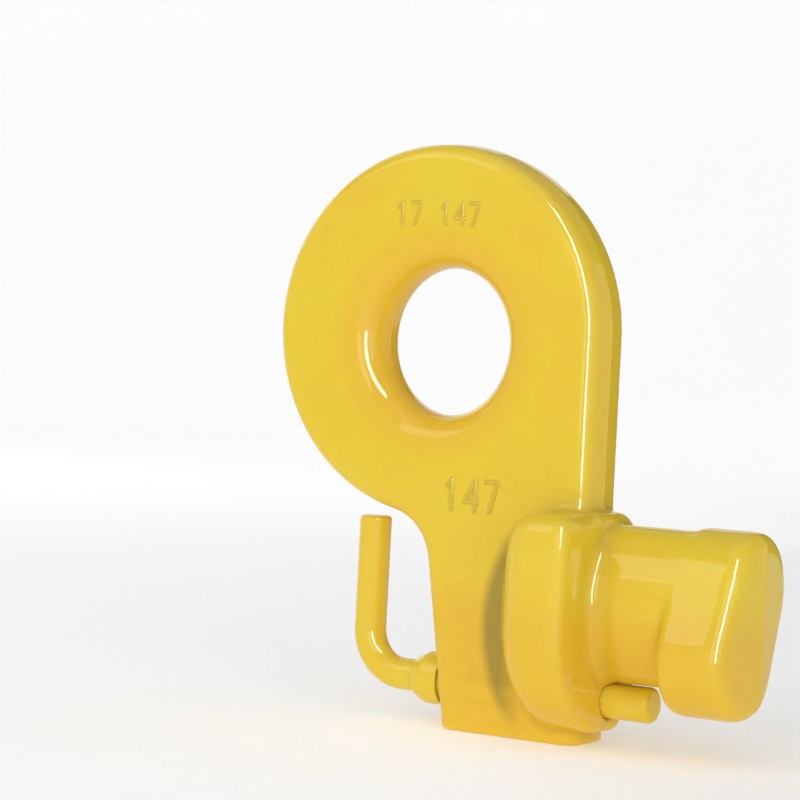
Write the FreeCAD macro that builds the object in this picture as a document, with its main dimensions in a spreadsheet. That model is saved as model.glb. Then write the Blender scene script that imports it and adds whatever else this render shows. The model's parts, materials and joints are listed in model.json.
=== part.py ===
import FreeCAD, Part
import math
import os
import re

import Sketcher

# Side lifting hook for freight containers: a one-piece forging with a lifting eye, a flat neck,
# a broad rounded bearing collar and an oval shank with a tilted hammer head, plus a sprung locking
# plunger that runs under the shank and is drawn back by an L-shaped pull rod.
# Origin: centre of the eye hole, on the forging's parting plane. +X runs along the shank to the
# head, +Y away from the viewer, +Z up through the eye. Millimetres.

doc = FreeCAD.newDocument("container_side_lifting_hook")
sheet = doc.addObject("Spreadsheet::Sheet", "sizes")

SIZES = {
    # lifting eye, a ring set slightly off the hole's centre
    "ring_radius": 70.0,
    "ring_shift_x": -2.5,
    "ring_shift_z": 4.0,
    "plate_thick": 26.0,
    "plate_draft": 6.0,
    "plate_round": 6.0,
    "eye_radius": 27.5,
    "eye_land": 2.5,
    "eye_flare": 12.2,
    "eye_rim_round": 10.0,
    # flat neck below the eye, down to the base that the hook stands on
    "base_wall": 16.7,
    "base_trim": 3.0,
    "neck_left": 9.0,
    "neck_lean": 9.0,
    "neck_round": 20.0,
    # collar that bears on the container's corner fitting
    "collar_front": 40.5,
    "collar_rear": 36.0,
    "collar_top": 58.5,
    "collar_wall": 11.7,
    "collar_middle": 98.0,
    "collar_top_rear": 8.0,
    "collar_rear_top": 78.0,
    "collar_rear_foot": 104.0,
    "collar_heel": 8.0,
    "collar_shoulder_round": 8.0,
    "collar_belly_round": 36.0,
    "collar_rear_round": 11.0,
    "collar_heel_round": 5.0,
    "collar_stand": 6.5,
    "collar_rim": 17.0,
    "collar_back": 21.0,
    "collar_root_share": 0.4,
    "collar_edge_round": 3.0,
    # boss that holds the plunger's bore
    "boss_radius": 13.9,
    "boss_end": 8.0,
    "boss_cone": 12.0,
    # oval shank
    "shank_half_width": 20.2,
    "shank_shift": 0.5,
    "shank_top": 62.3,
    "shank_step": 8.1,
    "shank_root_round": 4.0,
    "foot_top_inset": 0.6,
    # hammer head, a tilted oblong: a top lobe to the rear and a nose to the front
    "head_gap": 29.5,
    "head_thick": 29.5,
    "lobe_radius": 22.0,
    "lobe_rear": 3.0,
    "lobe_drop": 83.0,
    "nose_radius": 21.0,
    "nose_front": 6.5,
    "nose_drop": 106.0,
    "head_draft": 7.0,
    "head_front_round": 6.0,
    "head_back_round": 5.0,
    # locking plunger and its stepped bore, on one axis under the shank
    "lock_gap": 0.4,
    "plunger_diameter": 13.0,
    "plunger_reach": 18.0,
    "plunger_tip_round": 2.0,
    "guide_length": 18.0,
    "run_clearance": 0.1,
    "seat_clearance": 0.02,
    "chamber_diameter": 17.0,
    "gland_seat": 5.6,
    "gland_seat_diameter": 22.0,
    # pull rod: a round bar, bent up beside the neck
    "rod_diameter": 12.0,
    "rod_arm_offset": 30.0,
    "rod_arm_top": 67.2,
    "rod_bend": 16.0,
    "rod_tip_round": 1.5,
    "spigot_diameter": 8.0,
    "spigot_length": 16.0,
    "spigot_end_gap": 1.0,
    "dowel_diameter": 4.0,
    "dowel_setback": 8.0,
    "dowel_length": 12.0,
    # washers and spring round the rod
    "washer_thick": 1.5,
    "washer_outer": 16.6,
    "washer_play": 0.1,
    "wire_diameter": 1.5,
    "coil_diameter": 14.6,
    "coil_turns": 9.0,
    # screwed guide gland in the bore's mouth
    "gland_screw_length": 10.0,
    "gland_head_length": 12.0,
    "gland_head_diameter": 19.5,
    "gland_nose_diameter": 15.0,
    "gland_nose_length": 4.5,
    "gland_edge_round": 3.2,
}

# Places that follow from the sizes: the bearing face stands proud of the neck's right edge, the
# shank ends a step above the nose's lowest point, the plunger runs a gap under the shank, and the
# collar and the base lie a wall below the plunger's axis.
DERIVED = {
    "collar_face": "ring_shift_x + ring_radius + collar_stand",
    "shank_bottom": "nose_drop + nose_radius - shank_step",
    "shank_half_height": "(shank_bottom - shank_top) / 2",
    "shank_drop": "(shank_bottom + shank_top) / 2",
    "lock_drop": "shank_bottom + lock_gap + plunger_diameter / 2",
    "collar_bottom": "lock_drop + collar_wall",
    "base_drop": "lock_drop + base_wall",
}

entries = {alias: str(value) for alias, value in SIZES.items()}
entries.update({alias: f"={formula}" for alias, formula in DERIVED.items()})
for row, (alias, content) in enumerate(entries.items(), start=1):
    sheet.set(f"A{row}", alias)
    sheet.setAlias(f"B{row}", alias)
    sheet.set(f"B{row}", content)
doc.recompute()

WORD = re.compile(r"[a-z][a-z_]*")


def bound(expression):
    """The expression with each size's name pointed at the sheet."""
    return WORD.sub(lambda w: f"sizes.{w.group()}" if w.group() in entries else w.group(), expression)


def number(expression):
    """The expression's present value, a plain number."""
    value = sheet.evalExpression(expression)
    return float(getattr(value, "Value", value))


# Places along the lock's axis, worked out from the sizes
CHAMBER_END = "collar_face - guide_length"
WASHER_RIGHT = f"({CHAMBER_END} - run_clearance)"
WASHER_LEFT = f"({WASHER_RIGHT} - washer_thick)"
GLAND_INNER = "(gland_seat + gland_screw_length)"
SPRING_LEFT = f"({GLAND_INNER} + washer_thick)"
PLUNGER_REAR = f"({WASHER_RIGHT} + washer_play)"
ROD_SHOULDER = f"({WASHER_LEFT} - washer_play)"
PLUNGER_TIP = "(collar_face + plunger_reach)"
HEAD_BACK = "(collar_face + head_gap)"
HEAD_FRONT = "(collar_face + head_gap + head_thick)"

# Sections of the collar's swelling back, from its root to the rim: how far behind the rim, as a part
# of the back's depth, and how much of the whole shrinkage is left there
COLLAR_SWELL = [("1", "1"), ("0.5", "0.35"), ("0.17", "0.06"), ("0", "0")]
# Sections of the shank's foot: place past the bearing face, and growth as a part of the root's round
FOOT_STEPS = [("-1", "1"), ("0.3 * shank_root_round", "0.3"), ("1.2 * shank_root_round", "-0.1")]
BOSS_CONE_SLOPE = "0.2"
CUT_SPARE = "5"


def new_body(label):
    """An empty part-design body with its own label and place."""
    body = doc.addObject("PartDesign::Body", label)
    body.Label = label
    body.Placement = FreeCAD.Placement()
    return body


def origin_feature(body, role):
    """The body's own origin plane or axis of that role."""
    return next(f for f in body.Origin.OriginFeatures if f.Role == role)


def new_sketch(body, name, role, offset=None):
    """A sketch on one of the body's origin planes, moved along the plane's normal by an expression."""
    sketch = body.newObject("Sketcher::SketchObject", name)
    sketch.AttachmentSupport = [(origin_feature(body, role), "")]
    sketch.MapMode = "FlatFace"
    if offset:
        sketch.setExpression("AttachmentOffset.Base.z", bound(offset))
    doc.recompute()
    return sketch


def hold(sketch, kind, *where, to=None):
    """A constraint; with a value, it is tied to the sheet by that expression, angles in degrees."""
    if to is None:
        return sketch.addConstraint(Sketcher.Constraint(kind, *where))
    is_angle = kind == "Angle"
    value = math.radians(number(to)) if is_angle else number(to)
    index = sketch.addConstraint(Sketcher.Constraint(kind, *where, value))
    unit = " * 1 deg" if is_angle else ""
    sketch.setExpression(f"Constraints[{index}]", f"({bound(to)}){unit}")
    return index


def pin_point(sketch, geometry, end, across, up):
    """Ties one end or centre of a piece of geometry to its two coordinates."""
    hold(sketch, "DistanceX", -1, 1, geometry, end, to=across)
    hold(sketch, "DistanceY", -1, 1, geometry, end, to=up)


def draw_polygon(sketch, corners):
    """A closed run of straight lines through corners given as pairs of expressions."""
    spots = [FreeCAD.Vector(number(a), number(u), 0) for a, u in corners]
    count = len(spots)
    for i in range(count):
        sketch.addGeometry(Part.LineSegment(spots[i], spots[(i + 1) % count]), False)
    for i in range(count):
        hold(sketch, "Coincident", i, 2, (i + 1) % count, 1)
        pin_point(sketch, i, 1, *corners[i])


def draw_circle(sketch, across, up, diameter):
    """A circle tied to its centre and diameter."""
    centre = FreeCAD.Vector(number(across), number(up), 0)
    index = sketch.addGeometry(
        Part.Circle(centre, FreeCAD.Vector(0, 0, 1), number(diameter) / 2), False)
    pin_point(sketch, index, 3, across, up)
    hold(sketch, "Diameter", index, to=diameter)


def arc_of(centre, radius, start, end):
    """An arc, anticlockwise from start to end in radians."""
    circle = Part.Circle(FreeCAD.Vector(*centre, 0), FreeCAD.Vector(0, 0, 1), radius)
    return Part.ArcOfCircle(circle, start, end)


def finish_feature(body, feature):
    """Makes the feature the body's tip and works it out."""
    body.Tip = feature
    doc.recompute()
    return feature


def pad(body, name, sketch, length, both_sides=False, taper=None):
    """Extrudes the sketch; on both sides, the length is the whole one and a taper runs each way."""
    feature = body.newObject("PartDesign::Pad", name)
    feature.Profile = (sketch, [""])
    feature.Type = "Length"
    if both_sides:
        feature.SideType = "Two sides"
        feature.Type2 = "Length"
        feature.setExpression("Length", bound(f"({length}) / 2"))
        feature.setExpression("Length2", bound(f"({length}) / 2"))
        if taper:
            feature.setExpression("TaperAngle", bound(f"-({taper})"))
            feature.setExpression("TaperAngle2", bound(f"-({taper})"))
    else:
        feature.setExpression("Length", bound(length))
    return finish_feature(body, feature)


def turned(body, name, sketch, axis_role, kind="PartDesign::Revolution"):
    """Turns the sketch a full round about the sketch's own horizontal or vertical axis."""
    feature = body.newObject(kind, name)
    feature.Profile = (sketch, [""])
    feature.ReferenceAxis = (sketch, [axis_role])
    feature.Angle = 360.0
    return finish_feature(body, feature)


def cut(body, name, sketch, length, both_sides=False, reverse=False):
    """Cuts the sketch out of the body, and refuses a cut that removes nothing."""
    before = body.Shape.Volume
    feature = body.newObject("PartDesign::Pocket", name)
    feature.Profile = (sketch, [""])
    feature.Type = "Length"
    feature.setExpression("Length", bound(length))
    if both_sides:
        feature.SideType = "Symmetric"
    feature.Reversed = reverse
    finish_feature(body, feature)
    if body.Shape.Volume >= before:
        raise RuntimeError(f"{name} removes nothing")
    return feature


def rounded(body, name, radius, chosen):
    """Rounds the edges that the test picks from the body's present shape."""
    base = body.Tip
    names = [f"Edge{i}" for i, edge in enumerate(base.Shape.Edges, start=1) if chosen(edge)]
    if not names:
        raise RuntimeError(f"{name} finds no edge")
    feature = body.newObject("PartDesign::Fillet", name)
    feature.Base = (base, names)
    feature.setExpression("Radius", bound(radius))
    return finish_feature(body, feature)


def all_near(edge, axis, place, slack=0.02):
    """True if the whole edge lies at that place along the axis."""
    box = edge.BoundBox
    low, high = getattr(box, f"{axis}Min"), getattr(box, f"{axis}Max")
    return abs(low - place) < slack and abs(high - place) < slack


def draw_plate_outline(sketch):
    """Ring, straight right edge, base and leaning left edge with a hollow round into the ring."""
    ring = (number("ring_shift_x"), number("ring_shift_z"))
    radius, hollow = number("ring_radius"), number("neck_round")
    base = -number("base_drop + base_trim")
    lean = math.radians(number("neck_lean"))
    # the hollow's centre lies outside the ring by its radius, and left of the leaning edge by it
    foot = (number("neck_left"), base)
    along = (-math.sin(lean), math.cos(lean))
    left = (-math.cos(lean), -math.sin(lean))
    start = (foot[0] + hollow * left[0] - ring[0], foot[1] + hollow * left[1] - ring[1])
    b = start[0] * along[0] + start[1] * along[1]
    c = start[0] ** 2 + start[1] ** 2 - (radius + hollow) ** 2
    run = -b - math.sqrt(b * b - c)
    centre = (ring[0] + start[0] + run * along[0], ring[1] + start[1] + run * along[1])
    turn_in = math.atan2(centre[1] - ring[1], centre[0] - ring[0]) % (2 * math.pi)
    neck_top = (foot[0] + run * along[0], foot[1] + run * along[1])
    right = ring[0] + radius

    sketch.addGeometry(arc_of(ring, radius, 0, turn_in), False)
    sketch.addGeometry(Part.LineSegment(
        FreeCAD.Vector(right, ring[1], 0), FreeCAD.Vector(right, base, 0)), False)
    sketch.addGeometry(Part.LineSegment(
        FreeCAD.Vector(right, base, 0), FreeCAD.Vector(*foot, 0)), False)
    sketch.addGeometry(Part.LineSegment(
        FreeCAD.Vector(*foot, 0), FreeCAD.Vector(*neck_top, 0)), False)
    sketch.addGeometry(arc_of(centre, hollow, -lean, turn_in - math.pi), False)

    pin_point(sketch, 0, 3, "ring_shift_x", "ring_shift_z")
    hold(sketch, "Radius", 0, to="ring_radius")
    hold(sketch, "Tangent", 0, 1, 1, 1)
    hold(sketch, "Vertical", 1)
    hold(sketch, "Coincident", 1, 2, 2, 1)
    hold(sketch, "Horizontal", 2)
    hold(sketch, "Coincident", 2, 2, 3, 1)
    pin_point(sketch, 3, 1, "neck_left", "-(base_drop + base_trim)")
    hold(sketch, "Angle", 3, to="90 + neck_lean")
    hold(sketch, "Tangent", 3, 2, 4, 1)
    hold(sketch, "Tangent", 4, 2, 0, 2)
    hold(sketch, "Radius", 4, to="neck_round")


def draw_rounded_polygon(sketch, corners):
    """A closed outline of straight sides and tangent arcs. Each corner is (across, up, round), and
    a construction point holds it where the two sides beside it would meet."""
    count = len(corners)
    spots = [(number(a), number(u)) for a, u, _ in corners]
    ends = []
    arcs = []
    for i, (_, _, rounding) in enumerate(corners):
        here, radius = spots[i], number(rounding)
        before, after = spots[i - 1], spots[(i + 1) % count]
        come = math.atan2(here[1] - before[1], here[0] - before[0])
        go = math.atan2(after[1] - here[1], after[0] - here[0])
        turn = (come - go) % (2 * math.pi)
        reach = radius * math.tan(turn / 2)
        start = (here[0] - reach * math.cos(come), here[1] - reach * math.sin(come))
        end = (here[0] + reach * math.cos(go), here[1] + reach * math.sin(go))
        centre = (start[0] + radius * math.sin(come), start[1] - radius * math.cos(come))
        ends.append((start, end))
        arcs.append(arc_of(centre, radius, go + math.pi / 2, come + math.pi / 2))
    for i in range(count):
        sketch.addGeometry(Part.LineSegment(
            FreeCAD.Vector(*ends[i][1], 0), FreeCAD.Vector(*ends[(i + 1) % count][0], 0)), False)
    for arc in arcs:
        sketch.addGeometry(arc, False)
    for i, (across, up, rounding) in enumerate(corners):
        point = sketch.addGeometry(Part.Point(FreeCAD.Vector(*spots[i], 0)), True)
        pin_point(sketch, point, 1, across, up)
        hold(sketch, "PointOnObject", point, 1, i)
        hold(sketch, "PointOnObject", point, 1, (i - 1) % count)
        hold(sketch, "Tangent", (i - 1) % count, 2, count + i, 2)
        hold(sketch, "Tangent", count + i, 1, i, 1)
        hold(sketch, "Radius", count + i, to=rounding)


def draw_collar_outline(sketch, share):
    """The collar seen along the shank, clockwise from its front top corner: an upright front with a
    deep round belly, and a rear that leans in to the heel under the plunger. The share draws it
    smaller about its middle."""
    corners = [
        ("-collar_front", "-collar_top", "collar_shoulder_round"),
        ("collar_top_rear", "-collar_top", "collar_rear_round"),
        ("collar_rear", "-collar_rear_top", "collar_rear_round"),
        ("collar_rear", "-collar_rear_foot", "collar_rear_round"),
        ("collar_heel", "-collar_bottom", "collar_heel_round"),
        ("-collar_front", "-collar_bottom", "collar_belly_round"),
    ]
    draw_rounded_polygon(sketch, [
        (f"{share} * ({across})",
         f"{share} * ({up} + collar_middle) - collar_middle",
         f"{share} * {rounding}")
        for across, up, rounding in corners])


def draw_head_outline(sketch):
    """Two round lobes joined by their outer tangents: the head seen along the shank."""
    lobe = (number("lobe_rear"), -number("lobe_drop"))
    nose = (-number("nose_front"), -number("nose_drop"))
    big, small = number("lobe_radius"), number("nose_radius")
    across, up = lobe[0] - nose[0], lobe[1] - nose[1]
    heading = math.atan2(up, across)
    spread = math.acos((big - small) / math.hypot(across, up))
    rear, front = heading - spread, heading + spread

    def on(centre, radius, angle):
        return FreeCAD.Vector(centre[0] + radius * math.cos(angle),
                              centre[1] + radius * math.sin(angle), 0)

    sketch.addGeometry(arc_of(lobe, big, rear, front), False)
    sketch.addGeometry(Part.LineSegment(on(lobe, big, front), on(nose, small, front)), False)
    sketch.addGeometry(arc_of(nose, small, front, rear + 2 * math.pi), False)
    sketch.addGeometry(Part.LineSegment(on(nose, small, rear), on(lobe, big, rear)), False)
    pin_point(sketch, 0, 3, "lobe_rear", "-lobe_drop")
    hold(sketch, "Radius", 0, to="lobe_radius")
    pin_point(sketch, 2, 3, "-nose_front", "-nose_drop")
    hold(sketch, "Radius", 2, to="nose_radius")
    hold(sketch, "Tangent", 0, 2, 1, 1)
    hold(sketch, "Tangent", 1, 2, 2, 1)
    hold(sketch, "Tangent", 2, 2, 3, 1)
    hold(sketch, "Tangent", 3, 2, 0, 1)


def draw_oval(sketch, half_width, half_height, drop):
    """An upright ellipse a little to the front, tied by its centre and its two half axes."""
    centre = FreeCAD.Vector(-number("shank_shift"), -number(drop), 0)
    tall, wide = number(half_height), number(half_width)
    index = sketch.addGeometry(Part.Ellipse(
        centre + FreeCAD.Vector(0, tall, 0), centre + FreeCAD.Vector(wide, 0, 0), centre), False)
    sketch.exposeInternalGeometry(index)
    major, minor = index + 1, index + 2
    pin_point(sketch, index, 3, "-shank_shift", f"-({drop})")
    hold(sketch, "Vertical", major)
    hold(sketch, "Distance", major, to=f"2 * {half_height}")
    hold(sketch, "Distance", minor, to=f"2 * {half_width}")


def draw_eye_profile(sketch):
    """Half section of the eye hole about the Y axis: a short land flared out by an arc each way."""
    land, flare = number("eye_land") / 2, number("eye_flare")
    waist, half = number("eye_radius"), number("plate_thick") / 2
    reach = math.asin(min(0.985, (half - land) / flare))
    past = half + number(CUT_SPARE)
    rim = waist + flare * (1 - math.cos(reach))
    centre_x = waist + flare
    top = FreeCAD.Vector(rim, half, 0)
    bottom = FreeCAD.Vector(rim, -half, 0)
    v = FreeCAD.Vector
    sketch.addGeometry(Part.LineSegment(v(0, -past, 0), v(rim, -past, 0)), False)
    sketch.addGeometry(Part.LineSegment(v(rim, -past, 0), bottom), False)
    sketch.addGeometry(arc_of((centre_x, -land), flare, math.pi, math.pi + reach), False)
    sketch.addGeometry(Part.LineSegment(v(waist, -land, 0), v(waist, land, 0)), False)
    sketch.addGeometry(arc_of((centre_x, land), flare, math.pi - reach, math.pi), False)
    sketch.addGeometry(Part.LineSegment(top, v(rim, past, 0)), False)
    sketch.addGeometry(Part.LineSegment(v(rim, past, 0), v(0, past, 0)), False)
    sketch.addGeometry(Part.LineSegment(v(0, past, 0), v(0, -past, 0)), False)
    hold(sketch, "Coincident", 0, 2, 1, 1)
    hold(sketch, "Coincident", 1, 2, 2, 2)
    hold(sketch, "Tangent", 2, 1, 3, 1)
    hold(sketch, "Tangent", 3, 2, 4, 2)
    hold(sketch, "Coincident", 4, 1, 5, 1)
    hold(sketch, "Coincident", 5, 2, 6, 1)
    hold(sketch, "Coincident", 6, 2, 7, 1)
    hold(sketch, "Coincident", 7, 2, 0, 1)
    hold(sketch, "Vertical", 1)
    hold(sketch, "Vertical", 5)
    hold(sketch, "Horizontal", 0)
    hold(sketch, "Horizontal", 6)
    pin_point(sketch, 3, 1, "eye_radius", "-eye_land / 2")
    hold(sketch, "DistanceY", -1, 1, 3, 2, to="eye_land / 2")
    hold(sketch, "Radius", 2, to="eye_flare")
    hold(sketch, "Radius", 4, to="eye_flare")
    hold(sketch, "DistanceY", -1, 1, 1, 2, to="-plate_thick / 2")
    hold(sketch, "DistanceY", -1, 1, 4, 1, to="plate_thick / 2")
    pin_point(sketch, 0, 1, "0", f"-plate_thick / 2 - {CUT_SPARE}")
    pin_point(sketch, 7, 1, "0", f"plate_thick / 2 + {CUT_SPARE}")


def make_forging():
    """The one-piece forging: plate with eye, head, shank, collar, boss and stepped bore."""
    body = new_body("hook_forging")
    body.AllowCompound = True

    outline = new_sketch(body, "plate_outline", "XZ_Plane")
    draw_plate_outline(outline)
    pad(body, "plate", outline, "plate_thick", both_sides=True, taper="plate_draft")
    half = number("plate_thick") / 2
    base = -number("base_drop")

    def is_face_edge(edge):
        on_face = all_near(edge, "Y", half) or all_near(edge, "Y", -half)
        return on_face and edge.BoundBox.ZMax > base + half

    rounded(body, "plate_edges", "plate_round", is_face_edge)

    head_outline = new_sketch(body, "head_outline", "YZ_Plane", offset=HEAD_BACK)
    draw_head_outline(head_outline)
    pad(body, "head", head_outline, "head_thick")
    side = "2 * lobe_radius"
    slant = f"({HEAD_FRONT} - {side} * tan(head_draft * 1 deg))"
    ahead = f"({HEAD_FRONT} + head_thick)"
    roof = new_sketch(body, "head_roof", "XY_Plane")
    draw_polygon(roof, [
        (HEAD_FRONT, "0"), (slant, side), (ahead, side), (ahead, f"-{side}"), (slant, f"-{side}")])
    cut(body, "head_roof_cut", roof, "2 * base_drop", both_sides=True)
    front, back = number(HEAD_FRONT), number(HEAD_BACK)
    fall = math.tan(math.radians(number("head_draft")))

    def is_roof_rim(edge):
        points = edge.discretize(5)
        on_roof = all(abs(p.x - front + abs(p.y) * fall) < 0.02 for p in points)
        return on_roof and edge.BoundBox.YLength > 0.1

    rounded(body, "head_front_edge", "head_front_round", is_roof_rim)
    rounded(body, "head_back_edge", "head_back_round", lambda e: all_near(e, "X", back))

    # collar: a back that swells out of the plate, then a straight rim up to the bearing face
    sections = []
    for i, (behind, smaller) in enumerate(COLLAR_SWELL, start=1):
        section = new_sketch(body, f"collar_outline_{i}", "YZ_Plane",
                             offset=f"collar_face - collar_rim - {behind} * collar_back")
        draw_collar_outline(section, f"(1 - {smaller} * (1 - collar_root_share))")
        sections.append(section)
    swell = body.newObject("PartDesign::AdditiveLoft", "collar_swell")
    swell.Profile = (sections[0], [""])
    swell.Sections = [(section, [""]) for section in sections[1:]]
    finish_feature(body, swell)
    rim = new_sketch(body, "collar_rim_outline", "YZ_Plane", offset="collar_face - collar_rim")
    draw_collar_outline(rim, "1")
    pad(body, "collar", rim, "collar_rim")
    face = number("collar_face")
    rounded(body, "collar_face_edge", "collar_edge_round", lambda e: all_near(e, "X", face))

    shank_start = "(collar_face - 2 * collar_edge_round)"
    shank_outline = new_sketch(body, "shank_outline", "YZ_Plane", offset=shank_start)
    draw_oval(shank_outline, "shank_half_width", "shank_half_height", "shank_drop")
    pad(body, "shank", shank_outline, f"{HEAD_BACK} + head_thick / 2 - {shank_start}")

    # hollow foot of the shank: it swells to the sides and downwards, and its top stays under the shank's
    sections = []
    for i, (past_face, swell) in enumerate(FOOT_STEPS, start=1):
        section = new_sketch(body, f"shank_foot_{i}", "YZ_Plane", offset=f"collar_face + {past_face}")
        grow = f"{swell} * shank_root_round"
        draw_oval(section, f"(shank_half_width + {grow})",
                  f"(shank_half_height + ({grow} - foot_top_inset) / 2)",
                  f"shank_drop + ({grow} + foot_top_inset) / 2")
        sections.append(section)
    foot = body.newObject("PartDesign::AdditiveLoft", "shank_foot")
    foot.Profile = (sections[0], [""])
    foot.Sections = [(section, [""]) for section in sections[1:]]
    finish_feature(body, foot)

    boss_profile = new_sketch(body, "boss_profile", "XZ_Plane")
    boss_profile.setExpression("AttachmentOffset.Base.y", bound("-lock_drop"))
    boss_inner = "(collar_face - collar_rim)"
    draw_polygon(boss_profile, [
        ("boss_end", "0"),
        ("boss_end", f"boss_radius - {BOSS_CONE_SLOPE} * boss_cone"),
        ("boss_end + boss_cone", "boss_radius"),
        (boss_inner, "boss_radius"),
        (boss_inner, "0"),
    ])
    turned(body, "boss", boss_profile, "H_Axis")

    below = new_sketch(body, "below_base", "XZ_Plane")
    draw_polygon(below, [
        ("-ring_radius", "-base_drop"),
        ("-ring_radius", "-2 * base_drop"),
        (HEAD_BACK, "-2 * base_drop"),
        (HEAD_BACK, "-base_drop"),
    ])
    cut(body, "flat_base", below, "4 * collar_front", both_sides=True)

    eye_profile = new_sketch(body, "eye_profile", "XY_Plane")
    draw_eye_profile(eye_profile)
    turned(body, "eye_hole", eye_profile, "V_Axis", kind="PartDesign::Groove")
    reach = number("eye_radius + eye_flare")

    def is_eye_rim(edge):
        box = edge.BoundBox
        flat = all_near(edge, "Y", half) or all_near(edge, "Y", -half)
        return flat and box.XMax < reach and box.XMin > -reach and box.ZMax < reach and box.ZMin > -reach

    rounded(body, "eye_rims", "eye_rim_round", is_eye_rim)

    bore_profile = new_sketch(body, "bore_profile", "XZ_Plane")
    bore_profile.setExpression("AttachmentOffset.Base.y", bound("-lock_drop"))
    guide = "plunger_diameter / 2 + run_clearance"
    draw_polygon(bore_profile, [
        ("gland_seat - chamber_diameter", "0"),
        ("collar_face + head_gap / 2", "0"),
        ("collar_face + head_gap / 2", guide),
        (CHAMBER_END, guide),
        (CHAMBER_END, "chamber_diameter / 2"),
        ("gland_seat", "chamber_diameter / 2"),
        ("gland_seat", "gland_seat_diameter / 2"),
        ("gland_seat - chamber_diameter", "gland_seat_diameter / 2"),
    ])
    turned(body, "lock_bore", bore_profile, "H_Axis", kind="PartDesign::Groove")
    return body


def lock_profile(body, name, corners):
    """A turned profile about the lock's axis: across is X, up is the radius."""
    sketch = new_sketch(body, name, "XZ_Plane")
    sketch.setExpression("AttachmentOffset.Base.y", bound("-lock_drop"))
    draw_polygon(sketch, corners)
    return sketch


def cross_hole(body, name, across, diameter):
    """A round hole through the piece along Y, on the lock's axis."""
    sketch = new_sketch(body, name, "XZ_Plane")
    draw_circle(sketch, across, "-lock_drop", diameter)
    cut(body, f"{name}_cut", sketch, "2 * plunger_diameter", both_sides=True)


def make_plunger():
    """The round locking plunger, with a blind socket for the rod's spigot."""
    body = new_body("lock_plunger")
    socket = "spigot_diameter / 2 + seat_clearance"
    depth = f"{PLUNGER_REAR} + spigot_length + spigot_end_gap"
    profile = lock_profile(body, "plunger_profile", [
        (PLUNGER_REAR, socket),
        (depth, socket),
        (depth, "0"),
        (PLUNGER_TIP, "0"),
        (PLUNGER_TIP, "plunger_diameter / 2"),
        (PLUNGER_REAR, "plunger_diameter / 2"),
    ])
    turned(body, "plunger_bar", profile, "H_Axis")
    tip = number(PLUNGER_TIP)
    rounded(body, "plunger_tip", "plunger_tip_round", lambda e: all_near(e, "X", tip))
    cross_hole(body, "plunger_cross_hole", f"{PLUNGER_REAR} + dowel_setback",
               "dowel_diameter + 2 * seat_clearance")
    return body


def make_rod():
    """The pull rod: a bar along the lock's axis, bent up into the finger arm, with a spigot."""
    body = new_body("pull_rod")
    path = new_sketch(body, "rod_path", "XZ_Plane")
    axis_z, top = -number("lock_drop"), -number("rod_arm_top")
    arm_x, bend = -number("rod_arm_offset"), number("rod_bend")
    shoulder = number(ROD_SHOULDER)
    v = FreeCAD.Vector
    path.addGeometry(Part.LineSegment(v(shoulder, axis_z, 0), v(arm_x + bend, axis_z, 0)), False)
    path.addGeometry(arc_of((arm_x + bend, axis_z + bend), bend, math.pi, 1.5 * math.pi), False)
    path.addGeometry(Part.LineSegment(v(arm_x, axis_z + bend, 0), v(arm_x, top, 0)), False)
    pin_point(path, 0, 1, ROD_SHOULDER, "-lock_drop")
    hold(path, "Horizontal", 0)
    hold(path, "Tangent", 0, 2, 1, 2)
    hold(path, "Radius", 1, to="rod_bend")
    hold(path, "Tangent", 1, 1, 2, 1)
    hold(path, "Vertical", 2)
    pin_point(path, 2, 2, "-rod_arm_offset", "-rod_arm_top")

    section = new_sketch(body, "rod_section", "YZ_Plane", offset=ROD_SHOULDER)
    draw_circle(section, "0", "-lock_drop", "rod_diameter")
    bar = body.newObject("PartDesign::AdditivePipe", "rod_bar")
    bar.Profile = (section, [""])
    bar.Spine = (path, ["Edge1", "Edge2", "Edge3"])
    finish_feature(body, bar)

    spigot = new_sketch(body, "spigot_section", "YZ_Plane", offset=ROD_SHOULDER)
    draw_circle(spigot, "0", "-lock_drop", "spigot_diameter")
    pad(body, "spigot", spigot, f"{PLUNGER_REAR} - {ROD_SHOULDER} + spigot_length")
    rounded(body, "rod_tip", "rod_tip_round", lambda e: all_near(e, "Z", top))
    cross_hole(body, "spigot_cross_hole", f"{PLUNGER_REAR} + dowel_setback",
               "dowel_diameter + 2 * seat_clearance")
    return body


def make_dowel():
    """The cross dowel that pins the plunger to the rod."""
    body = new_body("plunger_dowel")
    sketch = new_sketch(body, "dowel_section", "XZ_Plane")
    draw_circle(sketch, f"{PLUNGER_REAR} + dowel_setback", "-lock_drop", "dowel_diameter")
    pad(body, "dowel_bar", sketch, "dowel_length", both_sides=True)
    return body


def make_washer(label, left, bore):
    """A flat ring on the lock's axis, its left face at the given place."""
    body = new_body(label)
    profile = lock_profile(body, f"{label}_profile", [
        (left, bore),
        (f"{left} + washer_thick", bore),
        (f"{left} + washer_thick", "washer_outer / 2"),
        (left, "washer_outer / 2"),
    ])
    turned(body, f"{label}_ring", profile, "H_Axis")
    return body


def make_spring():
    """The compression spring between the two washers, a plain helix of round wire."""
    body = new_body("lock_spring")
    sketch = new_sketch(body, "wire_section", "XZ_Plane")
    sketch.setExpression("AttachmentOffset.Base.y", bound("-lock_drop"))
    draw_circle(sketch, f"{SPRING_LEFT} + wire_diameter / 2", "coil_diameter / 2", "wire_diameter")
    coil = body.newObject("PartDesign::AdditiveHelix", "coil")
    coil.Profile = (sketch, [""])
    coil.ReferenceAxis = (sketch, ["H_Axis"])
    coil.Mode = "height-turns-angle"
    coil.setExpression("Height", bound(f"{WASHER_LEFT} - {SPRING_LEFT} - wire_diameter"))
    coil.setExpression("Turns", bound("coil_turns"))
    finish_feature(body, coil)
    return body


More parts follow.
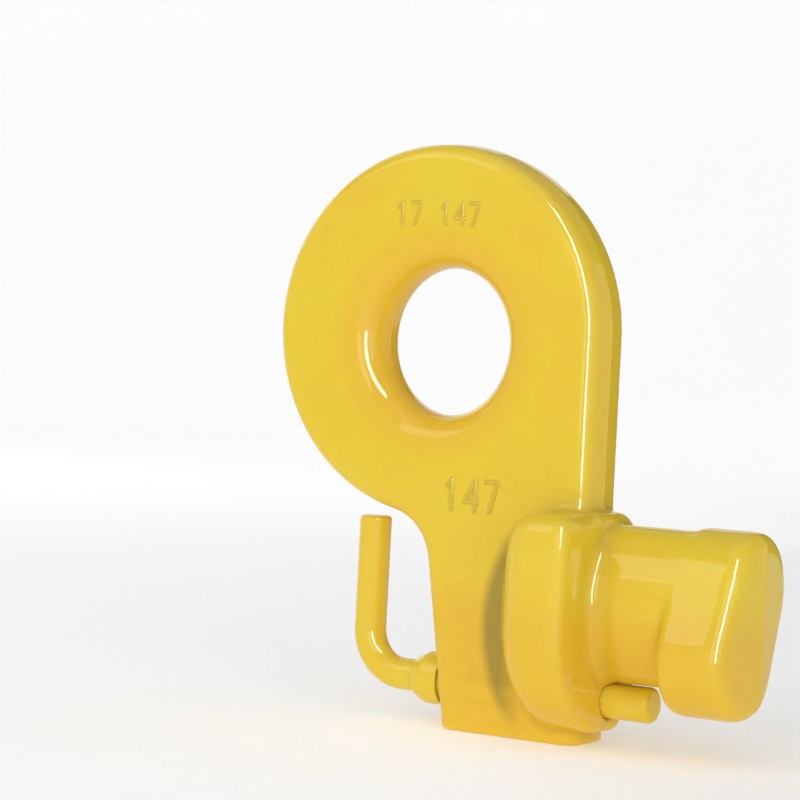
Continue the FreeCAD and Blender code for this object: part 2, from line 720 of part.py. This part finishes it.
def make_gland():
    """The guide gland: screwed into the bore's mouth, with a tapered nose round the rod."""
    body = new_body("guide_gland")
    bore = "rod_diameter / 2 + run_clearance"
    screw = "chamber_diameter / 2 - seat_clearance"
    nose = "gland_seat - gland_head_length"
    profile = lock_profile(body, "gland_profile", [
        (nose, bore),
        (GLAND_INNER, bore),
        (GLAND_INNER, screw),
        ("gland_seat", screw),
        ("gland_seat", "gland_head_diameter / 2"),
        (f"{nose} + gland_nose_length", "gland_head_diameter / 2"),
        (nose, "gland_nose_diameter / 2"),
    ])
    turned(body, "gland_blank", profile, "H_Axis")
    shoulder = number(f"{nose} + gland_nose_length")
    rounded(body, "gland_edge", "gland_edge_round", lambda e: all_near(e, "X", shoulder))
    return body


parts = [
    make_forging(),
    make_gland(),
    make_washer("spring_seat_washer", GLAND_INNER, "rod_diameter / 2 + run_clearance"),
    make_spring(),
    make_washer("thrust_washer", WASHER_LEFT, "spigot_diameter / 2 + run_clearance"),
    make_rod(),
    make_plunger(),
    make_dowel(),
]
doc.recompute()

for item in doc.Objects:
    if "Invalid" in item.State or "Error" in item.State:
        raise RuntimeError(f"{item.Label} failed: {item.State}")
for item in parts:
    shape = item.Shape
    if shape.isNull() or not shape.isValid() or len(shape.Solids) != 1:
        raise RuntimeError(f"{item.Label} is not one valid solid")

os.makedirs("parts", exist_ok=True)
for item in parts:
    item.Shape.exportStep(f"parts/{item.Label}.step")
    box = item.Shape.BoundBox
    print(f"{item.Label}: {item.Shape.Volume:.0f} mm3, X {box.XMin:.1f} {box.XMax:.1f}, "
          f"Y {box.YMin:.1f} {box.YMax:.1f}, Z {box.ZMin:.1f} {box.ZMax:.1f}")
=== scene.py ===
import json
import math

import bmesh
import bpy
import numpy as np
from mathutils import Matrix, Vector


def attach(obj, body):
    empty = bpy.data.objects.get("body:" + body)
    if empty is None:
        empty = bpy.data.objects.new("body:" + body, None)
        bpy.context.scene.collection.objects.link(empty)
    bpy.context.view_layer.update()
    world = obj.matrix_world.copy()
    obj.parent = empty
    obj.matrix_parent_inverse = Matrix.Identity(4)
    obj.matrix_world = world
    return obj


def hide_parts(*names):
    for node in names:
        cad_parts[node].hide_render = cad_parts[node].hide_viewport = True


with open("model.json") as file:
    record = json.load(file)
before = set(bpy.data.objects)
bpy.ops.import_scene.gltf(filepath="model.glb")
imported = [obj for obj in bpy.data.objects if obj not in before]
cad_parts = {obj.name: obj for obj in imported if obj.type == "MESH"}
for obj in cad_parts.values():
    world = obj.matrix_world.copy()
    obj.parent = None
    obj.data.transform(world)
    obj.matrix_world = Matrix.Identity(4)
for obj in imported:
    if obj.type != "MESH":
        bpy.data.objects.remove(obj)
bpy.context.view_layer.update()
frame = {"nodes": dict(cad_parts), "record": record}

MM = 0.001

# A side lifting hook stood on its flat base: one yellow-enamelled forging with a lifting eye, a
# collar and a tilted hammer head, a locking plunger under the shank and an L-shaped pull rod.

RECORD_MOUNTS = {mount["name"]: mount for mount in frame["record"]["mounts"]}
FLOOR_Z = RECORD_MOUNTS["base"]["pos_m"][2]


# Meshes from numpy arrays


def mesh_object(name, points, faces, smooth=True):
    """An object at the origin from an (n, 3) array of points and an (m, 4) or (m, 3) array of faces."""
    mesh = bpy.data.meshes.new(name)
    mesh.from_pydata(np.asarray(points, float).tolist(), [], np.asarray(faces, int).tolist())
    mesh.update()
    mesh.polygons.foreach_set("use_smooth", [smooth] * len(mesh.polygons))
    obj = bpy.data.objects.new(name, mesh)
    bpy.context.scene.collection.objects.link(obj)
    return obj


def grid_faces(rows, columns, wrap=False):
    """Quads between neighbouring rows of a grid of points; wrap joins the last column to the first."""
    across = columns if wrap else columns - 1
    r, c = np.meshgrid(np.arange(rows - 1), np.arange(across), indexing="ij")
    n = (c + 1) % columns
    quads = np.stack([r * columns + c, r * columns + n, (r + 1) * columns + n, (r + 1) * columns + c], -1)
    return quads.reshape(-1, 4)


# The forging's skin


SKIN_VOXEL = 1.05 * MM
SKIN_ROUNDS = 7
COLLAR_ROUNDS = 55
COLLAR_FROM = 30.0 * MM
COLLAR_TO = 84.0 * MM
COLLAR_TOP = -50.0 * MM
PLATE_SIDE = 14.0 * MM
BLEND_WIDTH = 4.0 * MM


def ramp(values, start, width):
    """0 below start, 1 above start + width, and straight between them."""
    return np.clip((values - start) / width, 0.0, 1.0)


def collar_share(points):
    """1 on the collar where it stands clear of the plate, and 0 away from it."""
    x, y, z = points.T
    clear = ramp(np.abs(y), PLATE_SIDE, BLEND_WIDTH) * ramp(-z, -COLLAR_TOP, BLEND_WIDTH)
    return clear * ramp(x, COLLAR_FROM, BLEND_WIDTH) * ramp(-x, -COLLAR_TO, BLEND_WIDTH)


def evaluated_copy(obj, name):
    """A new object whose mesh is the first one's with its modifiers applied."""
    graph = bpy.context.evaluated_depsgraph_get()
    mesh = bpy.data.meshes.new_from_object(obj.evaluated_get(graph))
    mesh.name = name
    copy = bpy.data.objects.new(name, mesh)
    bpy.context.scene.collection.objects.link(copy)
    return copy


def make_forging_skin():
    """The enamelled forging: the solid's own surface resampled to an even skin about 1 mm fine,
    then each point is drawn a few times towards the mean of its neighbours, so that inner corners
    fill and outer ones soften as they do under a heavy coat of paint. The collar, which the hammer rounded
    most, is drawn further by its own share."""
    rough = bpy.data.objects.new("skin_blank", frame["nodes"]["hook_forging"].data.copy())
    bpy.context.scene.collection.objects.link(rough)
    work = bmesh.new()
    work.from_mesh(rough.data)
    bmesh.ops.remove_doubles(work, verts=work.verts, dist=1e-6)
    work.to_mesh(rough.data)
    work.free()
    remesh = rough.modifiers.new("even_skin", "REMESH")
    remesh.mode = "VOXEL"
    remesh.voxel_size = SKIN_VOXEL
    remesh.use_smooth_shade = True
    relax = rough.modifiers.new("paint_softness", "SMOOTH")
    relax.factor = 0.5
    relax.iterations = SKIN_ROUNDS
    even = evaluated_copy(rough, "even_forging")
    bpy.data.objects.remove(rough)
    points = np.empty(3 * len(even.data.vertices))
    even.data.vertices.foreach_get("co", points)
    shares = collar_share(points.reshape(-1, 3))
    collar = even.vertex_groups.new(name="collar")
    for index in np.flatnonzero(shares).tolist():
        collar.add([index], float(shares[index]), "REPLACE")
    soften = even.modifiers.new("collar_softness", "SMOOTH")
    soften.factor = 0.5
    soften.iterations = COLLAR_ROUNDS
    soften.vertex_group = collar.name
    skin = evaluated_copy(even, "forging_skin")
    bpy.data.objects.remove(even)
    skin.data.materials.clear()
    return skin


# Raised batch numbers on the front face


FRONT_FACE_Y = -13.0 * MM
STROKES = {
    "1": [((0.15, 0.75), (0.5, 1.0)), ((0.5, 1.0), (0.5, 0.0))],
    "4": [((0.75, 0.0), (0.75, 1.0)), ((0.75, 1.0), (0.0, 0.3)), ((0.0, 0.3), (1.0, 0.3))],
    "7": [((0.0, 1.0), (0.9, 1.0)), ((0.9, 1.0), (0.35, 0.0))],
}


def capsule(start, end, radius, rings=14, around=12):
    """Grid of points of a capsule from start to end. At ring angle t, from -pi/2 to pi/2, the radius
    is r cos t and the place along the stroke is the nearer end plus r sin t."""
    start, end = np.array(start, float), np.array(end, float)
    length = np.linalg.norm(end - start)
    along = (end - start) / length
    side = np.cross(along, (0.0, 1.0, 0.0))
    t = np.linspace(-math.pi / 2, math.pi / 2, rings)
    run = np.where(t > 0, length, 0.0) + radius * np.sin(t)
    turn = np.linspace(0, 2 * math.pi, around, endpoint=False)
    ring = np.outer(np.cos(turn), side) + np.outer(np.sin(turn), (0.0, 1.0, 0.0))
    return start + run[:, None, None] * along + (radius * np.cos(t))[:, None, None] * ring


def number_row(name, text, left, base, size, pitch, radius):
    """A row of raised digits on the front face: each stroke is a capsule sunk past its middle.
    size is (width, height) of a digit, pitch the step between them; a space leaves a gap."""
    points, faces, count = [], [], 0
    for place, digit in enumerate(text):
        for stroke in STROKES.get(digit, []):
            ends = [(left + place * pitch + a * size[0], FRONT_FACE_Y + 0.35 * radius, base + u * size[1])
                    for a, u in stroke]
            grid = capsule(*ends, radius)
            faces.append(grid_faces(grid.shape[0], grid.shape[1], wrap=True) + count)
            points.append(grid.reshape(-1, 3))
            count += grid.shape[0] * grid.shape[1]
    row = mesh_object(name, np.concatenate(points), np.concatenate(faces))
    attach(row, "hook")
    return row


# Materials


def new_group(name, inputs, outputs):
    """An empty shader group: inputs as (name, kind, default), outputs as (name, kind)."""
    group = bpy.data.node_groups.new(name, "ShaderNodeTree")
    for label, kind, default in inputs:
        socket = group.interface.new_socket(label, in_out="INPUT", socket_type=kind)
        socket.default_value = default
    for label, kind in outputs:
        group.interface.new_socket(label, in_out="OUTPUT", socket_type=kind)
    return group, group.nodes.new("NodeGroupInput"), group.nodes.new("NodeGroupOutput")


def node(tree, kind, inputs=None, **settings):
    """A node with its properties set, and its inputs set to a value or linked from a socket."""
    made = tree.nodes.new(kind)
    for key, value in settings.items():
        setattr(made, key, value)
    for key, value in (inputs or {}).items():
        if isinstance(value, bpy.types.NodeSocket):
            tree.links.new(value, made.inputs[key])
        else:
            made.inputs[key].default_value = value
    return made


def maths(tree, operation, a, b=0.0, c=0.0):
    """The result socket of one arithmetic node; c is what MULTIPLY_ADD adds to a times b."""
    return node(tree, "ShaderNodeMath", {0: a, 1: b, 2: c}, operation=operation).outputs[0]


def noise(tree, vector, scale, detail=2.0, roughness=0.5):
    """The value socket of a noise texture on those coordinates."""
    return node(tree, "ShaderNodeTexNoise",
                {"Vector": vector, "Scale": scale, "Detail": detail, "Roughness": roughness}).outputs[0]


def span(tree, value, low, high):
    """The value stretched so that low becomes 0 and high becomes 1, and held between them."""
    return node(tree, "ShaderNodeMapRange", {0: value, 1: low, 2: high}, clamp=True).outputs[0]


def blend_colour(tree, factor, first, second):
    """The colour that the factor picks between two colours."""
    mix = node(tree, "ShaderNodeMix", {"Factor": factor}, data_type="RGBA")
    for index, value in ((6, first), (7, second)):
        if isinstance(value, bpy.types.NodeSocket):
            tree.links.new(value, mix.inputs[index])
        else:
            mix.inputs[index].default_value = (*value, 1.0)
    return mix.outputs[2]


def make_film_group():
    """Enamel film: tone drifts over a hand's breadth, a height of soft forged waves, dimples and fine
    orange peel, and a roughness that follows the tone."""
    group, into, out = new_group("enamel_film", [
        ("Vector", "NodeSocketVector", (0, 0, 0)),
        ("Wave", "NodeSocketFloat", 1.0),
        ("Peel", "NodeSocketFloat", 1.0),
    ], [("Tone", "NodeSocketFloat"), ("Roughness", "NodeSocketFloat"), ("Height", "NodeSocketFloat")])
    place = into.outputs["Vector"]
    drift = noise(group, place, 22.0, 3.0, 0.55)
    wave = maths(group, "MULTIPLY", noise(group, place, 70.0, 1.5, 0.4), into.outputs["Wave"])
    peel = maths(group, "MULTIPLY", noise(group, place, 620.0, 2.0, 0.5), into.outputs["Peel"])
    dimple = maths(group, "MULTIPLY", noise(group, place, 230.0, 1.0), into.outputs["Wave"])
    height = maths(group, "ADD", wave, maths(group, "MULTIPLY", dimple, 0.16))
    height = maths(group, "ADD", height, maths(group, "MULTIPLY", peel, 0.05))
    group.links.new(span(group, drift, 0.36, 0.64), out.inputs["Tone"])
    group.links.new(maths(group, "MULTIPLY_ADD", drift, 0.16, 0.5), out.inputs["Roughness"])
    group.links.new(height, out.inputs["Height"])
    return group


SHELTER_REACH = 26.0 * MM
SHELTER_FROM = 0.74
SHELTER_FULL = 0.46


def make_edge_group():
    """Relief masks: 1 on outer edges in one, by the surface's own bend; 1 in inner corners and in nooks
    that neighbouring surfaces shelter in the other, the mask for painted shade."""
    group, into, out = new_group("relief_masks", [
        ("Vector", "NodeSocketVector", (0, 0, 0)),
        ("Spread", "NodeSocketFloat", 0.06),
    ], [("Edge", "NodeSocketFloat"), ("PaintedShade", "NodeSocketFloat")])
    bend = node(group, "ShaderNodeNewGeometry").outputs["Pointiness"]
    broken = maths(group, "MULTIPLY_ADD", noise(group, into.outputs["Vector"], 240.0, 3.0), 0.02, -0.01)
    bend = maths(group, "ADD", bend, broken)
    top = maths(group, "ADD", 0.5, into.outputs["Spread"])
    low = maths(group, "SUBTRACT", 0.5, into.outputs["Spread"])
    group.links.new(span(group, bend, 0.5, top), out.inputs["Edge"])
    corner = span(group, bend, 0.5, low)
    # painted shade: ambient occlusion marks the nooks that neighbouring surfaces shelter
    shelter = node(group, "ShaderNodeAmbientOcclusion", {"Distance": SHELTER_REACH},
                   samples=8, only_local=True)
    nook = span(group, shelter.outputs["AO"], SHELTER_FROM, SHELTER_FULL)
    group.links.new(maths(group, "MAXIMUM", corner, nook), out.inputs["PaintedShade"])
    return group


FILM = make_film_group()
RELIEF = make_edge_group()

YELLOW = (0.805, 0.578, 0.008)
YELLOW_WARM = (0.815, 0.455, 0.007)
YELLOW_THIN = (0.870, 0.680, 0.060)
# painted shade colour for corners, nooks and the collar's foot
PAINTED_SHADE_OLIVE = (0.340, 0.235, 0.014)
# painted shade: below these heights the enamel turns warmer orange
WARM_FROM = -0.084
WARM_BELOW = -0.098
# painted shadow: an oval ring along the collar's foot on the plate's front
FOOT_CENTRE = (0.0640, 0.0, -0.1010)
FOOT_REACH = (0.0352, 1.0, 0.0440)
FOOT_FADE = 0.11
FOOT_LEFT = 0.045
PLATE_FRONT = 0.0125
# painted shade: warmer orange in the eye's mouth, within these distances of its axis
MOUTH_FROM = 0.046
MOUTH_INSIDE = 0.038
SEAM_HALF = 0.0009
SEAM_HEIGHT = 0.5
WARM_SHADE_SHARE = 0.62
DRIFT_WARMTH = 0.30
EDGE_THINNING = 0.35
BUMP_DEPTH = 1.2 * MM
ENAMEL_ROUGHNESS = 0.20


def new_material(name):
    """A material with nodes, its Principled shader and its Object coordinates."""
    material = bpy.data.materials.new(name)
    material.use_nodes = True
    tree = material.node_tree
    tree.nodes.clear()
    shader = tree.nodes.new("ShaderNodeBsdfPrincipled")
    output = tree.nodes.new("ShaderNodeOutputMaterial")
    tree.links.new(shader.outputs[0], output.inputs[0])
    place = tree.nodes.new("ShaderNodeTexCoord").outputs["Object"]
    return material, tree, shader, place


def put_group(tree, group, inputs):
    """One use of a group in a material, with its own values."""
    return node(tree, "ShaderNodeGroup", inputs, node_tree=group)


def make_zone_group():
    """Places on the forging: 1 where painted shade turns the enamel warm, low down and in the mouth of the
    eye, and 1 along the parting seam, a ridge about a millimetre wide on the plane Y = 0 that grinding
    broke up. The mouth is a distance from the eye's axis, sqrt(X^2 + Z^2). The foot mask is 1 along the
    collar's foot on the plate's front, an oval ring of painted shadow, and fades outwards."""
    group, into, out = new_group("forging_zones", [
        ("Vector", "NodeSocketVector", (0, 0, 0)),
    ], [("WarmShade", "NodeSocketFloat"), ("Seam", "NodeSocketFloat"), ("FootShadow", "NodeSocketFloat")])
    place = into.outputs["Vector"]
    axes = node(group, "ShaderNodeSeparateXYZ", {0: place}).outputs
    lean = maths(group, "MULTIPLY_ADD", noise(group, place, 30.0), 0.012, -0.006)
    height = maths(group, "ADD", axes["Z"], lean)
    away = maths(group, "ABSOLUTE", axes["Y"])
    ridge = span(group, away, SEAM_HALF, 0.15 * SEAM_HALF)
    ground = span(group, noise(group, place, 90.0, 3.0), 0.36, 0.62)
    flat = node(group, "ShaderNodeVectorMath", {0: place, 1: (1.0, 0.0, 1.0)}, operation="MULTIPLY")
    from_axis = node(group, "ShaderNodeVectorMath", {0: flat.outputs[0]}, operation="LENGTH").outputs[1]
    # painted shade in the eye's mouth
    mouth = span(group, from_axis, MOUTH_FROM, MOUTH_INSIDE)
    low = span(group, height, WARM_FROM, WARM_BELOW)
    group.links.new(maths(group, "MAXIMUM", low, mouth), out.inputs["WarmShade"])
    # painted shadow along the collar's foot
    oval = node(group, "ShaderNodeVectorMath", {0: place, 1: FOOT_CENTRE}, operation="SUBTRACT")
    oval = node(group, "ShaderNodeVectorMath", {0: oval.outputs[0], 1: FOOT_REACH}, operation="DIVIDE")
    from_foot = node(group, "ShaderNodeVectorMath", {0: oval.outputs[0]}, operation="LENGTH").outputs[1]
    ring = span(group, from_foot, 1.0 + FOOT_FADE, 1.0)
    ring = maths(group, "MULTIPLY", ring, span(group, axes["X"], FOOT_LEFT, FOOT_LEFT - 0.010))
    near = span(group, axes["Y"], -PLATE_FRONT - 0.006, -PLATE_FRONT - 0.001)
    front = maths(group, "LESS_THAN", axes["Y"], -PLATE_FRONT + 0.004)
    ring = maths(group, "MULTIPLY", ring, maths(group, "MULTIPLY", near, front))
    group.links.new(ring, out.inputs["FootShadow"])
    group.links.new(maths(group, "MULTIPLY", ridge, ground), out.inputs["Seam"])
    return group


ZONES = make_zone_group()


def enamel(name, wave=1.0, peel=1.0, shade_share=0.85, bump=0.35, zones=0.0):
    """Gloss yellow enamel in a heavy coat: warm and cool yellows, thinner and paler on edges, painted
    shade in olive in corners and nooks; zones gives the share of the forging's painted shade, warm low
    down and olive along the collar's foot, and of its parting seam."""
    material, tree, shader, place = new_material(name)
    film = put_group(tree, FILM, {"Vector": place, "Wave": wave, "Peel": peel})
    relief = put_group(tree, RELIEF, {"Vector": place, "Spread": 0.08})
    zone = put_group(tree, ZONES, {"Vector": place})
    # painted shade: warmer orange low down and in the eye's mouth
    warm_shade = maths(tree, "MULTIPLY", zone.outputs["WarmShade"], WARM_SHADE_SHARE * zones)
    warm = maths(tree, "MAXIMUM", maths(tree, "MULTIPLY", film.outputs["Tone"], DRIFT_WARMTH), warm_shade)
    base = blend_colour(tree, warm, YELLOW, YELLOW_WARM)
    edges = maths(tree, "MULTIPLY", relief.outputs["Edge"], EDGE_THINNING)
    base = blend_colour(tree, edges, base, YELLOW_THIN)
    # painted shadow along the collar's foot joins the painted shade in olive
    foot = maths(tree, "MULTIPLY", zone.outputs["FootShadow"], zones)
    painted_shade = maths(tree, "MULTIPLY", maths(tree, "MAXIMUM", relief.outputs["PaintedShade"], foot), shade_share)
    base = blend_colour(tree, painted_shade, base, PAINTED_SHADE_OLIVE)
    tree.links.new(base, shader.inputs["Base Color"])
    rough = maths(tree, "ADD", film.outputs["Roughness"], ENAMEL_ROUGHNESS)
    tree.links.new(rough, shader.inputs["Roughness"])
    seam = maths(tree, "MULTIPLY", zone.outputs["Seam"], SEAM_HEIGHT * zones)
    height = maths(tree, "ADD", film.outputs["Height"], seam)
    lift = node(tree, "ShaderNodeBump", {"Strength": bump, "Distance": BUMP_DEPTH, "Height": height})
    tree.links.new(lift.outputs[0], shader.inputs["Normal"])
    shader.inputs["Coat Weight"].default_value = 0.7
    shader.inputs["Coat Roughness"].default_value = 0.05
    shader.inputs["Specular IOR Level"].default_value = 0.3
    return material


def bright_steel(name, tone, grain_scale, along=(1.0, 1.0, 1.0)):
    """Bare steel with fine drawn lines along one direction and a faint oily tone."""
    material, tree, shader, place = new_material(name)
    stretch = node(tree, "ShaderNodeMapping", {"Vector": place, "Scale": along})
    lines = noise(tree, stretch.outputs[0], grain_scale, 4.0, 0.6)
    film = put_group(tree, FILM, {"Vector": place, "Wave": 0.3, "Peel": 0.4})
    dark = tuple(0.6 * channel for channel in tone)
    colour = blend_colour(tree, lines, dark, tone)
    tree.links.new(colour, shader.inputs["Base Color"])
    rough = maths(tree, "MULTIPLY_ADD", lines, 0.25, 0.18)
    tree.links.new(rough, shader.inputs["Roughness"])
    height = maths(tree, "ADD", maths(tree, "MULTIPLY", lines, 0.3), film.outputs["Height"])
    lift = node(tree, "ShaderNodeBump", {"Strength": 0.2, "Distance": 0.0003, "Height": height})
    tree.links.new(lift.outputs[0], shader.inputs["Normal"])
    shader.inputs["Metallic"].default_value = 1.0
    return material


def give(obj, material):
    """Makes that the object's only material."""
    obj.data.materials.clear()
    obj.data.materials.append(material)


def dress_nodes():
    """Finishes for the solids that stay in view."""
    rod_paint = enamel("rod_enamel", wave=0.5, peel=1.2)
    plunger_paint = enamel("plunger_enamel", wave=0.5, peel=1.0, shade_share=0.3)
    gland_paint = enamel("gland_enamel", wave=1.2, peel=1.0)
    give(frame["nodes"]["pull_rod"], rod_paint)
    give(frame["nodes"]["lock_plunger"], plunger_paint)
    give(frame["nodes"]["guide_gland"], gland_paint)
    washer = bright_steel("washer_steel", (0.55, 0.56, 0.58), 900.0)
    give(frame["nodes"]["thrust_washer"], washer)
    give(frame["nodes"]["spring_seat_washer"], washer)
    give(frame["nodes"]["lock_spring"], bright_steel("spring_wire", (0.42, 0.43, 0.45), 1400.0))
    give(frame["nodes"]["plunger_dowel"], bright_steel("dowel_steel", (0.5, 0.51, 0.53), 1100.0))


# Stage, light and camera


BACKDROP_TURN = math.radians(121.6)
BACKDROP_GLOW = 0.50
FLOOR_GLOW = 0.26
GLOW_FULL = 2.6
SURROUND_LIGHT = 0.34
CARD_REACH = 1.15


def make_floor():
    """A plain pale floor that rises in a wide bowl: the profile is turned about Z."""
    flat, bend = 2.2, 2.2
    angle = np.linspace(0, math.pi / 2, 24)
    reach = np.concatenate([[0.0, 0.4, 1.0, 1.6], flat + bend * np.sin(angle)])
    rise = np.concatenate([[0.0, 0.0, 0.0, 0.0], bend * (1 - np.cos(angle))])
    turn = np.linspace(0, 2 * math.pi, 96, endpoint=False)
    points = np.stack([np.outer(reach, np.cos(turn)), np.outer(reach, np.sin(turn)),
                       np.repeat(rise[:, None], len(turn), 1) + FLOOR_Z], -1).reshape(-1, 3)
    floor = mesh_object("studio_floor", points, grid_faces(len(reach), len(turn), wrap=True))
    material, tree, shader, place = new_material("floor_paper")
    grain = noise(tree, place, 3.0, 2.0)
    tree.links.new(blend_colour(tree, grain, (0.84, 0.84, 0.85), (0.88, 0.88, 0.89)),
                   shader.inputs["Base Color"])
    shader.inputs["Roughness"].default_value = 0.85
    # the floor glows faintly, and more towards the far wall behind the part
    turned = node(tree, "ShaderNodeMapping", {"Vector": place, "Rotation": (0.0, 0.0, -BACKDROP_TURN)})
    behind = node(tree, "ShaderNodeSeparateXYZ", {0: turned.outputs[0]}).outputs["X"]
    far = span(tree, behind, 0.0, GLOW_FULL)
    glow = blend_colour(tree, far, (FLOOR_GLOW,) * 3, (BACKDROP_GLOW,) * 3)
    tree.links.new(glow, shader.inputs["Emission Color"])
    shader.inputs["Emission Strength"].default_value = 1.0
    give(floor, material)


LIGHT_AIM = Vector((0.03, 0.0, -0.03))


def toward(turn, rise, reach):
    """The point at that reach from the lights' aim: turn is anticlockwise from +X, both in degrees."""
    t, r = math.radians(turn), math.radians(rise)
    return LIGHT_AIM + reach * Vector((math.cos(t) * math.cos(r), math.sin(t) * math.cos(r), math.sin(r)))


def area_light(name, place, size, power, only_glints=False):
    """A rectangular soft white light at a place, turned to face the part; only_glints keeps it to
    gloss reflections."""
    lamp = bpy.data.lights.new(name, "AREA")
    lamp.shape = "RECTANGLE"
    lamp.size, lamp.size_y = size
    lamp.energy = power
    obj = bpy.data.objects.new(name, lamp)
    obj.location = place
    obj.rotation_euler = (LIGHT_AIM - place).to_track_quat("-Z", "Y").to_euler()
    obj.visible_diffuse = not only_glints
    bpy.context.scene.collection.objects.link(obj)


def make_dark_card():
    """A tall curved dark card behind the part's right that its side faces mirror and no view shows:
    part of an upright cylinder about Z."""
    turn, rise = np.meshgrid(np.radians(np.linspace(58.0, 102.0, 16)), (FLOOR_Z + 0.01, 0.25, 0.75))
    points = np.stack([CARD_REACH * np.cos(turn), CARD_REACH * np.sin(turn), rise], -1).reshape(-1, 3)
    card = mesh_object("dark_card", points, grid_faces(*turn.shape))
    card.visible_camera = False
    material, tree, shader, place = new_material("card_felt")
    felt = blend_colour(tree, noise(tree, place, 40.0), (0.030, 0.028, 0.022), (0.045, 0.042, 0.034))
    tree.links.new(felt, shader.inputs["Base Color"])
    shader.inputs["Roughness"].default_value = 0.9
    give(card, material)


def make_light():
    """Soft studio light: a window high on the left, a front box, a fill on the right, another
    behind, a broad box overhead, an even surround and a tall strip by the camera for the glints."""
    area_light("window_box", toward(-129.0, 36.0, 1.5), (0.75, 0.75), 3.4)
    area_light("front_box", toward(-75.0, 14.0, 1.6), (0.5, 0.9), 3.3)
    area_light("right_fill", toward(-34.0, 8.0, 1.7), (0.9, 0.9), 3.6)
    area_light("top_box", toward(-80.0, 80.0, 1.9), (1.6, 1.6), 3.8)
    area_light("rear_fill", toward(150.0, 30.0, 1.9), (1.2, 1.2), 3.5)
    area_light("glint_strip", toward(-48.0, 28.0, 1.6), (0.34, 2.0), 50.0, only_glints=True)
    world = bpy.data.worlds.new("studio_surround")
    bpy.context.scene.world = world
    world.use_nodes = True
    background = world.node_tree.nodes["Background"]
    background.inputs[0].default_value = (1.0, 1.0, 1.0, 1.0)
    background.inputs[1].default_value = SURROUND_LIGHT


CAMERA_TURN = math.radians(31.63)
CAMERA_RISE = math.radians(-0.28)
CAMERA_ROLL = math.radians(2.99)
CAMERA_REACH = 1.0
CAMERA_LENS = 120.06
AIM_POINT = Vector((-2.5 * MM, 0.0, 4.0 * MM))
AIM_PIXEL = (447.8, 330.9)
FRAME_PIXELS = 800


def make_camera():
    """The photograph's view: a long lens, turned and rolled a little, shifted to its framing."""
    a, e, roll = CAMERA_TURN, CAMERA_RISE, CAMERA_ROLL
    back = Vector((math.sin(a) * math.cos(e), -math.cos(a) * math.cos(e), math.sin(e)))
    right = Vector((math.cos(a), math.sin(a), 0.0))
    up = back.cross(right)
    right_rolled = right * math.cos(roll) + up * math.sin(roll)
    up_rolled = up * math.cos(roll) - right * math.sin(roll)
    data = bpy.data.cameras.new("photo_camera")
    data.lens = CAMERA_LENS
    data.sensor_width = 36.0
    data.shift_x = (FRAME_PIXELS / 2 - AIM_PIXEL[0]) / FRAME_PIXELS
    data.shift_y = (AIM_PIXEL[1] - FRAME_PIXELS / 2) / FRAME_PIXELS
    camera = bpy.data.objects.new("photo_camera", data)
    turn = Matrix((right_rolled, up_rolled, back)).transposed()
    camera.matrix_world = Matrix.Translation(AIM_POINT + back * CAMERA_REACH) @ turn.to_4x4()
    bpy.context.scene.collection.objects.link(camera)
    bpy.context.scene.camera = camera


skin = make_forging_skin()
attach(skin, "hook")
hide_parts("hook_forging")
give(skin, enamel("forging_enamel", zones=1.0))
dress_nodes()
numbers_paint = enamel("number_enamel", peel=0.6, shade_share=0.4)
for name, text, left, base, size, pitch, radius in (
    ("upper_numbers", "17 147", -19.0, 43.2, (4.2, 8.0), 6.3, 0.9),
    ("lower_numbers", "147", 8.0, -61.5, (5.6, 11.0), 8.6, 1.1),
):
    width, height = size
    row = number_row(name, text, left * MM, base * MM, (width * MM, height * MM), pitch * MM, radius * MM)
    give(row, numbers_paint)
make_floor()
make_dark_card()
make_light()
bpy.context.scene.view_settings.view_transform = "Standard"
make_camera()
